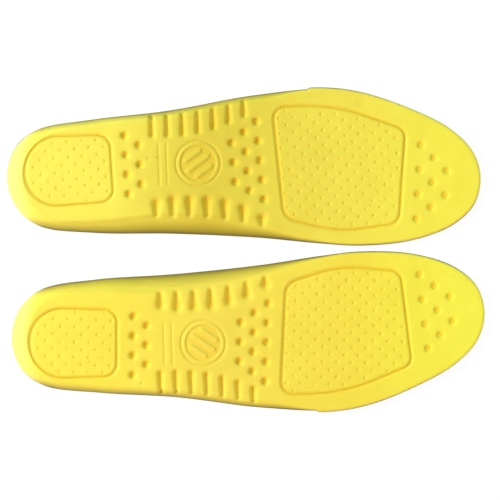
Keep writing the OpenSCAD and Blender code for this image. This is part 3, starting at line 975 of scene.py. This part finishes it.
def knit(name):
    """Olive knitted fabric: ribs of small stitches, with a soft sheen."""
    s = Shader(name, KNIT_ROUGHNESS, KNIT_SPECULAR)
    split = s.add("ShaderNodeSeparateXYZ")
    s.feed(split.inputs[0], s.place)
    across = s.math("SINE", s.math("MULTIPLY", split.outputs["Y"], 2 * math.pi / RIB_PITCH))
    along = s.math("SINE", s.math("MULTIPLY", split.outputs["X"], 2 * math.pi / COURSE_PITCH))
    stitch = s.math("MULTIPLY", s.math("ADD", across, 1.0), s.math("ADD", along, COURSE_LIFT))
    height = s.math("MULTIPLY", stitch, STITCH_SHARE)
    fuzz = s.noise(*FUZZ_NOISE)
    colour = s.blend(height, linear(KNIT_LOW), linear(KNIT_HIGH))
    colour = s.blend(FUZZ_SHARE, colour, s.ramp(fuzz, WIDE_GREY), "MULTIPLY")
    s.feed(s.surface.inputs["Base Color"], colour)
    near = s.bump(height, *STITCH_BUMP)
    s.feed(s.surface.inputs["Normal"], s.bump(fuzz, *FUZZ_BUMP, near))
    s.surface.inputs["Sheen Weight"].default_value = KNIT_SHEEN
    s.surface.inputs["Sheen Roughness"].default_value = SHEEN_ROUGHNESS
    return s.material


FOAM = {side: foam(f"foam_{side}", side) for side in SIDES}
PAD_FOAM = {side: foam(f"pad_foam_{side}", side) for side in SIDES}
KNIT = knit("knit_cover")

for side in SIDES:
    body = f"{side}_insole"
    shell = foam_body(side, FOAM[side])
    cover = knit_cover(side, KNIT)
    for made, node, slot in ((shell, "base_foam", "base_foam"), (cover, "top_cover", "cover_fabric")):
        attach(made, body)
        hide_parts(f"{side}_{node}")
    for which, node in (("heel", "heel_pad"), ("forefoot", "forefoot_pad")):
        made = insert(side, which, PAD_FOAM[side])
        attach(made, body)
        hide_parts(f"{side}_{node}")

# ---- floor, light and camera ----
low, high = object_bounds()
span = high - low


FLOOR_SPAN, FLOOR_DROP = 12, 0.0002   # half its size, in lengths of the object, and its gap below it
FLOOR_GREY, FLOOR_GLOW = 0.12, 0.92   # it glows, so that it is evenly white


def floor():
    size = FLOOR_SPAN * span.x
    mesh = bpy.data.meshes.new("floor")
    z = low.z - FLOOR_DROP
    corners = [(-size, -size, z), (size, -size, z), (size, size, z), (-size, size, z)]
    mesh.from_pydata(corners, [], [(0, 1, 2, 3)])
    made = bpy.data.objects.new("floor", mesh)
    bpy.context.scene.collection.objects.link(made)
    s = Shader("pale_floor", 0.9, 0.1)
    s.surface.inputs["Base Color"].default_value = grey(FLOOR_GREY)
    s.surface.inputs["Emission Color"].default_value = grey(1)
    s.surface.inputs["Emission Strength"].default_value = FLOOR_GLOW
    mesh.materials.append(s.material)


def lamp(name, at, size, power, colour):
    """A round soft lamp that points at the middle of the floor."""
    light = bpy.data.lights.new(name, "AREA")
    light.shape, light.size, light.energy, light.color = "DISK", size, power, colour
    made = bpy.data.objects.new(name, light)
    made.location = at
    made.rotation_euler = (-Vector(at)).to_track_quat("-Z", "Y").to_euler()
    bpy.context.scene.collection.objects.link(made)


BAND_TOP, BAND_FADED = 0.06, 0.10   # heights, as the sine of the angle, where the room stops being white


def room(zenith, horizon):
    """A plain room: light from overhead, less from the sides, and white where it meets the floor."""
    world = bpy.data.worlds.new("room")
    world.use_nodes = True
    tree = world.node_tree
    place = tree.nodes.new("ShaderNodeTexCoord")
    split = tree.nodes.new("ShaderNodeSeparateXYZ")
    ramp = tree.nodes.new("ShaderNodeValToRGB")
    tree.links.new(place.outputs["Generated"], split.inputs[0])
    tree.links.new(split.outputs["Z"], ramp.inputs["Fac"])
    faded = mix(horizon, zenith, 0.1)
    stops = [(0.0, 1.0), (BAND_TOP, 1.0), (BAND_FADED, faded), (1.0, zenith)]
    while len(ramp.color_ramp.elements) < len(stops):
        ramp.color_ramp.elements.new(0.5)
    for element, (at, value) in zip(ramp.color_ramp.elements, stops):
        element.position, element.color = at, grey(value)
    tree.links.new(ramp.outputs["Color"], tree.nodes["Background"].inputs["Color"])
    tree.nodes["Background"].inputs["Strength"].default_value = 1
    bpy.context.scene.world = world


floor()
lamp("key", (-1.57, 0.26, 1.22), 0.7, 39, (0.98, 0.96, 1.0))
lamp("window", (0.1, 2.0, 1.35), 1.2, 11.5, (0.25, 1.0, 0.85))
lamp("fill", (1.5, -1.2, 0.95), 1.2, 15.0, (1.0, 0.74, 0.40))
room(0.44, 0.12)
bpy.context.scene.view_settings.view_transform = "Standard"

# the camera looks straight down, turned a little; FRAME_WIDTH is what it sees at the object's middle
CAMERA_HEIGHT, FRAME_WIDTH, CAMERA_ROLL, SENSOR = 3.0, 0.2903, -1.66, 36
FRAME_SHIFT = (0.0024, 0.0010)
camera = bpy.data.objects.new("camera", bpy.data.cameras.new("camera"))
camera.data.sensor_width = SENSOR
camera.data.lens = SENSOR * CAMERA_HEIGHT / FRAME_WIDTH
middle = (low + high) / 2
camera.location = (middle.x + FRAME_SHIFT[0], middle.y + FRAME_SHIFT[1], middle.z + CAMERA_HEIGHT)
camera.rotation_euler = (0, 0, math.radians(CAMERA_ROLL))
bpy.context.scene.collection.objects.link(camera)
bpy.context.scene.camera = camera
